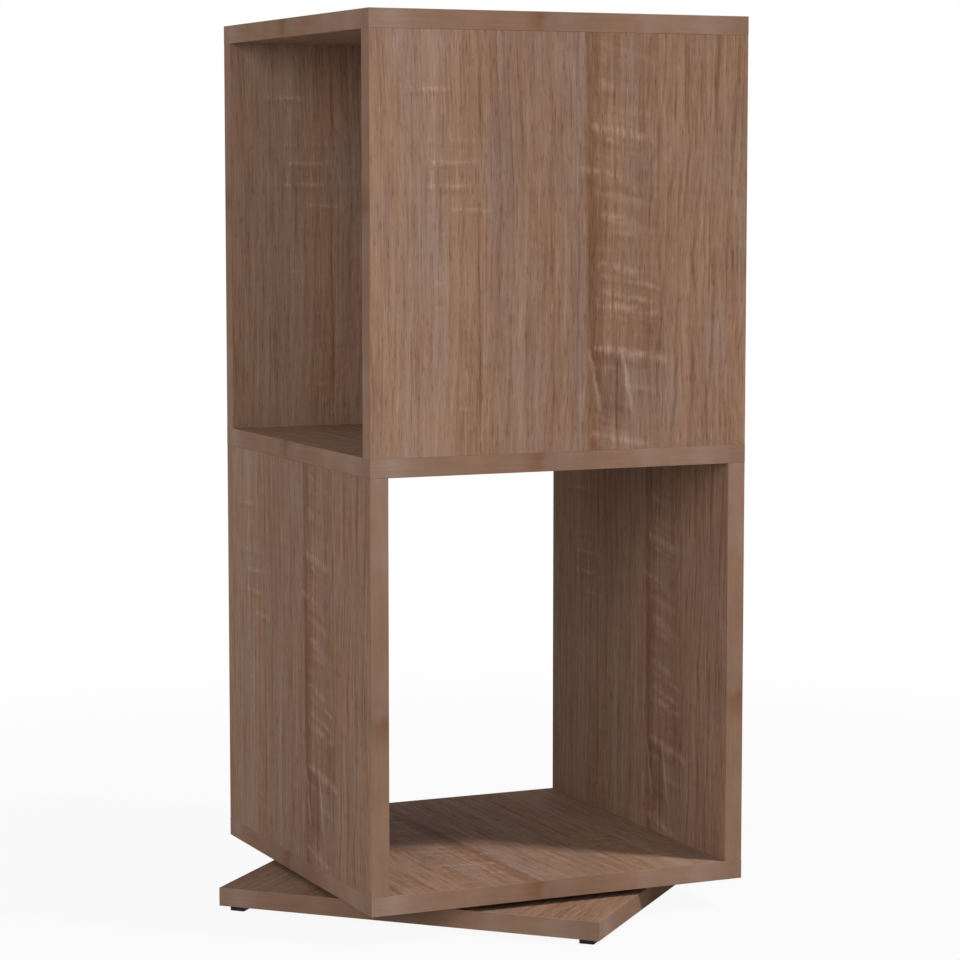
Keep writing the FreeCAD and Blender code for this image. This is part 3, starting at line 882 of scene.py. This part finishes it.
def set_out(name, master, places, finish, body, slot, *nodes):
    """Copy a master to each place, join the copies to one piece and let it stand for the given nodes."""
    bpy.ops.object.select_all(action="DESELECT")
    for place in places:
        copy = master.copy()
        copy.data = master.data.copy()
        copy.data.transform(place)
        bpy.context.collection.objects.link(copy)
        copy.select_set(True)
        bpy.context.view_layer.objects.active = copy
    if len(places) > 1:
        bpy.ops.object.join()
    piece = bpy.context.active_object
    piece.name = name
    piece.data.materials.clear()
    piece.data.materials.append(finish)
    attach(piece, body)
    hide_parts(*nodes)
    bpy.ops.object.select_all(action="DESELECT")
    print(name, len(places), "x,", len(piece.data.polygons), "faces")


print("cutting and copying helpers are ready")

# %% [markdown]
# Turning
#
# Screws, caps, dowels and the tool that drills a foot are all round, as if made on a lathe. They could
# be spun from an outline. Here a disc is extruded and resized, again and again, which gives the same
# shape with both ends closed.

# %% Helper for turning
def turn_piece(name, outline, sides=32):
    """A round piece: a disc that is extruded and resized for each (radius, height) of its outline, in mm."""
    (radius, height), *rest = outline
    start = (0, 0, height * MM)
    bpy.ops.mesh.primitive_circle_add(vertices=sides, radius=radius * MM, fill_type="NGON", location=start)
    bpy.ops.object.transform_apply(location=True, rotation=False, scale=False)
    piece = open_piece(name)
    bpy.ops.mesh.select_all(action="SELECT")
    for next_radius, next_height in rest:
        rise = (next_height - height) * MM
        bpy.ops.mesh.extrude_region_move(TRANSFORM_OT_translate={"value": (0, 0, rise)})
        ratio = next_radius / radius
        bpy.ops.transform.resize(value=(ratio, ratio, 1))
        radius, height = next_radius, next_height
    close_piece(piece)
    return piece


print("turning helper is ready")

# %% [markdown]
# The feet
#
# Four square glides of black plastic, thirteen millimetres wide. A cube gives the body, and its upright
# edges and lower rim are bevelled as a mould would round them. The side is worked out from the box of a
# foot, which stands turned and whose rounded corners don't reach as far as sharp ones.

# %% Model a foot
foot_low, foot_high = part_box("foot_front")
foot_height = (foot_high.z - foot_low.z) / MM
foot_corner = 0.8
foot_rim = 0.5
hair = 0.01
foot_side = (foot_high.x - foot_low.x) / MM / math.sqrt(2) + foot_corner * (2 - math.sqrt(2))

bpy.ops.mesh.primitive_cube_add(size=1)
foot = open_piece("foot_master")
bpy.ops.transform.resize(value=(foot_side * MM, foot_side * MM, foot_height * MM))
bpy.ops.transform.translate(value=(0, 0, foot_height / 2 * MM))
pick(foot, "EDGE", lambda edge: abs((edge.verts[0].co - edge.verts[1].co).z) > foot_height / 2 * MM)
bpy.ops.mesh.bevel(offset=foot_corner * MM, segments=4, affect="EDGES")
pick(foot, "EDGE", lambda edge: max(vertex.co.z for vertex in edge.verts) < hair * MM)
bpy.ops.mesh.bevel(offset=foot_rim * MM, segments=3, affect="EDGES")
close_piece(foot)
print("foot", round(foot_side, 1), "mm wide and", round(foot_height, 1), "mm high")

# %% [markdown]
# Drilling and setting the feet
#
# The hole is a stepped tool: a small bevel at the mouth, room for the screw's head, a cone for its
# underside and a narrow bore. It is cut from below, and then the four feet are set under the corners of
# the turned base.

# %% Drill and set the feet
overrun = 1.0
hole_mouth = 3.3
hole_head = 3.05
hole_bore = 1.55
mouth_bevel = 0.25
head_recess = 1.2
cone_end = 3.0

hole = turn_piece("foot_hole", [
    (hole_mouth, -overrun), (hole_mouth, 0), (hole_head, mouth_bevel), (hole_head, head_recess),
    (hole_bore, cone_end), (hole_bore, foot_height + overrun),
])
cut_or_join(foot, hole, "DIFFERENCE")
bpy.ops.object.shade_smooth_by_angle(angle=math.radians(35))
for side in ("front", "left", "right", "back"):
    low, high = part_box("foot_" + side)
    stand = Matrix.Translation(((low.x + high.x) / 2, (low.y + high.y) / 2, low.z))
    turn = Matrix.Rotation(base_turn, 4, "Z")
    set_out("glide_" + side, foot, [stand @ turn], foot_plastic, "base", "foot_plastic", "foot_" + side)
bpy.data.objects.remove(foot)

# %% [markdown]
# Screws: the thread
#
# A thread is a ridge that winds round the shank. The Screw modifier makes it from a small triangle,
# which is set a little into the shank so that the Boolean that welds it on has something to cut.

# %% Helper for threads
thread_sides = 24
ridge_sunk = 0.15
ridge_share = 0.45


def add_thread(screw, core, crest, pitch, start, end):
    """Wind a ridge round a shank, from the start height down to the end height."""
    bpy.ops.mesh.primitive_circle_add(vertices=3, radius=MM, fill_type="NOTHING")
    ridge = open_piece("thread")
    mesh = bmesh.from_edit_mesh(ridge.data)
    root, half = core - ridge_sunk, ridge_share * pitch
    for vertex, (radius, height) in zip(mesh.verts, ((root, half), (crest, 0.0), (root, -half))):
        vertex.co = Vector((radius, 0, start + height)) * MM
    bmesh.update_edit_mesh(ridge.data)
    bpy.ops.object.mode_set(mode="OBJECT")
    screwing = ridge.modifiers.new("screw", "SCREW")
    screwing.screw_offset = -pitch * MM
    screwing.iterations = int((start - end) / pitch)
    screwing.steps = thread_sides
    screwing.render_steps = thread_sides
    bpy.ops.object.modifier_apply(modifier=screwing.name)
    bpy.ops.object.mode_set(mode="EDIT")
    bpy.ops.mesh.select_all(action="SELECT")
    bpy.ops.mesh.fill_holes(sides=3)
    close_piece(ridge)
    cut_or_join(screw, ridge, "UNION")


print("threads have", thread_sides, "steps to a turn")

# %% [markdown]
# Screws: the recess
#
# The joint screws are driven with a hex key, the small ones with a cross driver. The hex tool is turned
# with six sides and a shallow point. The cross is two bars whose lower faces are drawn in, because a
# driver's tip is tapered.

# %% Helpers for recesses
hex_point = 0.05
hex_point_depth = 0.5
cross_tip_shares = (0.35, 0.6, 1)


def cut_hex(screw, width, depth):
    """A six-sided socket in a head whose top is at height 0."""
    corner = width / 2 / math.cos(math.pi / 6)
    outline = [(corner, overrun), (corner, -depth), (hex_point, -depth - hex_point_depth)]
    cut_or_join(screw, turn_piece("socket", outline, sides=6), "DIFFERENCE")


def cut_cross(screw, reach, width, depth, top):
    """A cross recess that narrows towards its bottom, in a head whose top is at the given height."""
    for turn in (0, math.radians(90)):
        bpy.ops.mesh.primitive_cube_add(size=1)
        bar = open_piece("cross_bar")
        bpy.ops.transform.resize(value=(2 * reach * MM, width * MM, 2 * depth * MM))
        bpy.ops.transform.translate(value=(0, 0, top * MM))
        pick(bar, "FACE", lambda face: face.normal.z < -0.5)
        bpy.ops.transform.resize(value=cross_tip_shares)
        close_piece(bar)
        bar.data.transform(Matrix.Rotation(turn, 4, "Z"))
        cut_or_join(screw, bar, "DIFFERENCE")


def finish_screw(screw):
    """Clean up a screw and smooth its round stretches."""
    bpy.ops.object.mode_set(mode="EDIT")
    close_piece(screw, angle=40)
    print(screw.name, len(screw.data.polygons), "faces")


print("two kinds of recess are ready")

# %% [markdown]
# The joint screws
#
# Thick screws hold the walls between the level boards. Their outline, from the head down, is a flat
# rim, a cone that sinks into the board, a plain neck as thick as the thread, and a thinner core with a
# blunt point.

# %% Model a joint screw
joint_head = 5.0
joint_head_round = 0.2
joint_head_edge = 1.0
joint_neck = 3.5
joint_neck_start = 2.6
joint_neck_end = 15.0
joint_core = 2.5
joint_core_end = 47.0
joint_point = 1.25
joint_length = 50.0

joint_screw = turn_piece("joint_screw_master", [
    (joint_head - joint_head_round, 0), (joint_head, -joint_head_round), (joint_head, -joint_head_edge),
    (joint_neck, -joint_neck_start), (joint_neck, -joint_neck_end), (joint_core, -joint_neck_end - hair),
    (joint_core, -joint_core_end), (joint_point, -joint_length),
])
add_thread(joint_screw, core=joint_core, crest=joint_neck, pitch=3.4, start=-18, end=-46)
cut_hex(joint_screw, width=4.0, depth=1.6)
finish_screw(joint_screw)

# %% [markdown]
# The small screws
#
# The swivel's plates are held by short screws with a flat, bevelled head, because there is little room
# between the plates. The head stands on the plate at height 0. The feet have countersunk screws, whose
# cone fits the hole drilled above.

# %% Model a swivel screw
swivel_head = 4.0
swivel_head_height = 1.3
swivel_head_bevel = 0.5
swivel_neck = 1.9
swivel_core = 1.35
swivel_core_start = 0.6
swivel_core_end = 9.5
swivel_length = 12.0
screw_tip = 0.1

swivel_screw = turn_piece("swivel_screw_master", [
    (swivel_head - swivel_head_bevel, swivel_head_height),
    (swivel_head, swivel_head_height - swivel_head_bevel), (swivel_head, 0), (swivel_neck, -hair),
    (swivel_core, -swivel_core_start), (swivel_core, -swivel_core_end), (screw_tip, -swivel_length),
])
add_thread(swivel_screw, core=swivel_core, crest=1.88, pitch=1.6, start=-1.6, end=-9.8)
cut_cross(swivel_screw, reach=2.3, width=0.95, depth=0.9, top=swivel_head_height)
finish_screw(swivel_screw)

# %% Model a foot screw
foot_head = 3.0
foot_neck = 1.5
foot_neck_start = 1.8
foot_core = 1.05
foot_core_start = 2.6
foot_core_end = 12.0
foot_screw_length = 14.0

foot_screw = turn_piece("foot_screw_master", [
    (foot_head, 0), (foot_neck, -foot_neck_start), (foot_core, -foot_core_start),
    (foot_core, -foot_core_end), (screw_tip, -foot_screw_length),
])
add_thread(foot_screw, core=foot_core, crest=1.48, pitch=1.3, start=-3.6, end=-12.2)
cut_cross(foot_screw, reach=1.8, width=0.75, depth=1.0, top=0)
finish_screw(foot_screw)

# %% [markdown]
# Setting the screws
#
# The master screws point down, so a screw that was driven upwards is turned over first. A set's screws
# stand at the corners of their box, drawn in by the radius of a head. On the turned base they stand at
# the middles of its sides instead.

# %% Set the joint screws
def box_corners(node, inset):
    """Where four alike things stand: the corners of their box, drawn in."""
    low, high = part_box(node)
    return [(x, y) for x in (low.x + inset, high.x - inset) for y in (low.y + inset, high.y - inset)]


def standing(spots, height, rising):
    """Places at one height, for pieces that point down or, rising, up."""
    turn = Matrix.Rotation(math.radians(180), 4, "X") if rising else Matrix()
    return [Matrix.Translation((x, y, height)) @ turn for x, y in spots]


joints = {"top": False, "shelf_upper": True, "shelf_lower": False, "bottom": True}
for joint, rising in joints.items():
    node = joint + "_joint_screws"
    low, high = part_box(node)
    places = standing(box_corners(node, joint_head * MM), low.z if rising else high.z, rising)
    set_out(joint + "_threaded_screws", joint_screw, places, screw_steel, "cabinet", "screw_steel", node)

# %% Set the small screws
def box_points(node, inset):
    """The middles of a box's sides, drawn in."""
    low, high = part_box(node)
    return [(0, low.y + inset), (low.x + inset, 0), (high.x - inset, 0), (0, high.y - inset)]


node = "swivel_upper_screws"
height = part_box(node)[0].z + swivel_head_height * MM
places = standing(box_corners(node, swivel_head * MM), height, rising=True)
set_out("swivel_upper_wafer_screws", swivel_screw, places, screw_steel, "cabinet", "screw_steel", node)

node = "swivel_lower_screws"
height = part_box(node)[1].z - swivel_head_height * MM
places = standing(box_points(node, swivel_head * MM), height, rising=False)
set_out("swivel_lower_wafer_screws", swivel_screw, places, screw_steel, "base", "screw_steel", node)

node = "foot_screws"
places = standing(box_points(node, foot_head * MM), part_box(node)[0].z, rising=True)
set_out("countersunk_foot_screws", foot_screw, places, screw_steel, "base", "screw_steel", node)
for master in (joint_screw, swivel_screw, foot_screw):
    bpy.data.objects.remove(master)

# %% [markdown]
# Dowels
#
# A beech dowel has pressed flutes, so that glue and air can leave the hole. Every third face round the
# turned pin is inset and pushed in to make them.

# %% Model and set the dowels
dowel_low, dowel_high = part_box("top_joint_dowels")
dowel_half = (dowel_high.z - dowel_low.z) / 2 / MM
dowel_radius = 4.0
dowel_bevel = 0.9
dowel_sides = 36
flute_edge = 0.12
flute_depth = 0.25


def in_flute(face):
    """Every third one of the long side faces."""
    centre = face.calc_center_median()
    count = round(math.degrees(math.atan2(centre.y, centre.x)) / (360 / dowel_sides) - 0.5)
    return abs(face.normal.z) < 0.1 and count % 3 == 0


dowel = turn_piece("dowel_master", [
    (dowel_radius - dowel_bevel, dowel_half), (dowel_radius, dowel_half - dowel_bevel),
    (dowel_radius, dowel_bevel - dowel_half), (dowel_radius - dowel_bevel, -dowel_half),
], sides=dowel_sides)
bpy.ops.object.mode_set(mode="EDIT")
pick(dowel, "FACE", in_flute)
bpy.ops.mesh.inset(thickness=flute_edge * MM, depth=-flute_depth * MM, use_individual=True)
close_piece(dowel, angle=25)
for joint in joints:
    node = joint + "_joint_dowels"
    low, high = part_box(node)
    places = standing(box_corners(node, dowel_radius * MM), (low.z + high.z) / 2, rising=False)
    set_out(joint + "_fluted_dowels", dowel, places, beech, "cabinet", "beech_dowel", node)
bpy.data.objects.remove(dowel)

# %% [markdown]
# Caps
#
# Plastic caps hide the screw heads that would show, on the top panel and on both faces of the shelf.
# Each is a thin disc with a soft rim and a shallow dish, turned from the dish outwards.

# %% Model and set the caps
cap_low, cap_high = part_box("top_screw_caps")
cap_thickness = (cap_high.z - cap_low.z) / MM
cap_radius = 6.0
dish_in = 1.3
dish_depth = 0.14
rim_in = 0.8
rim_out = 0.35
shoulder_in = 0.1
shoulder_drop = 0.08
side_drop = 0.3

cap = turn_piece("cap_master", [
    (cap_radius - dish_in, -dish_depth), (cap_radius - rim_in, 0), (cap_radius - rim_out, 0),
    (cap_radius - shoulder_in, -shoulder_drop), (cap_radius, -side_drop), (cap_radius, -cap_thickness),
], sides=48)
for joint, rising in joints.items():
    node = joint + "_screw_caps"
    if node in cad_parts:
        low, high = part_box(node)
        places = standing(box_corners(node, cap_radius * MM), low.z if rising else high.z, rising)
        set_out(joint + "_dished_caps", cap, places, cap_plastic, "cabinet", "cap_plastic", node)
bpy.data.objects.remove(cap)
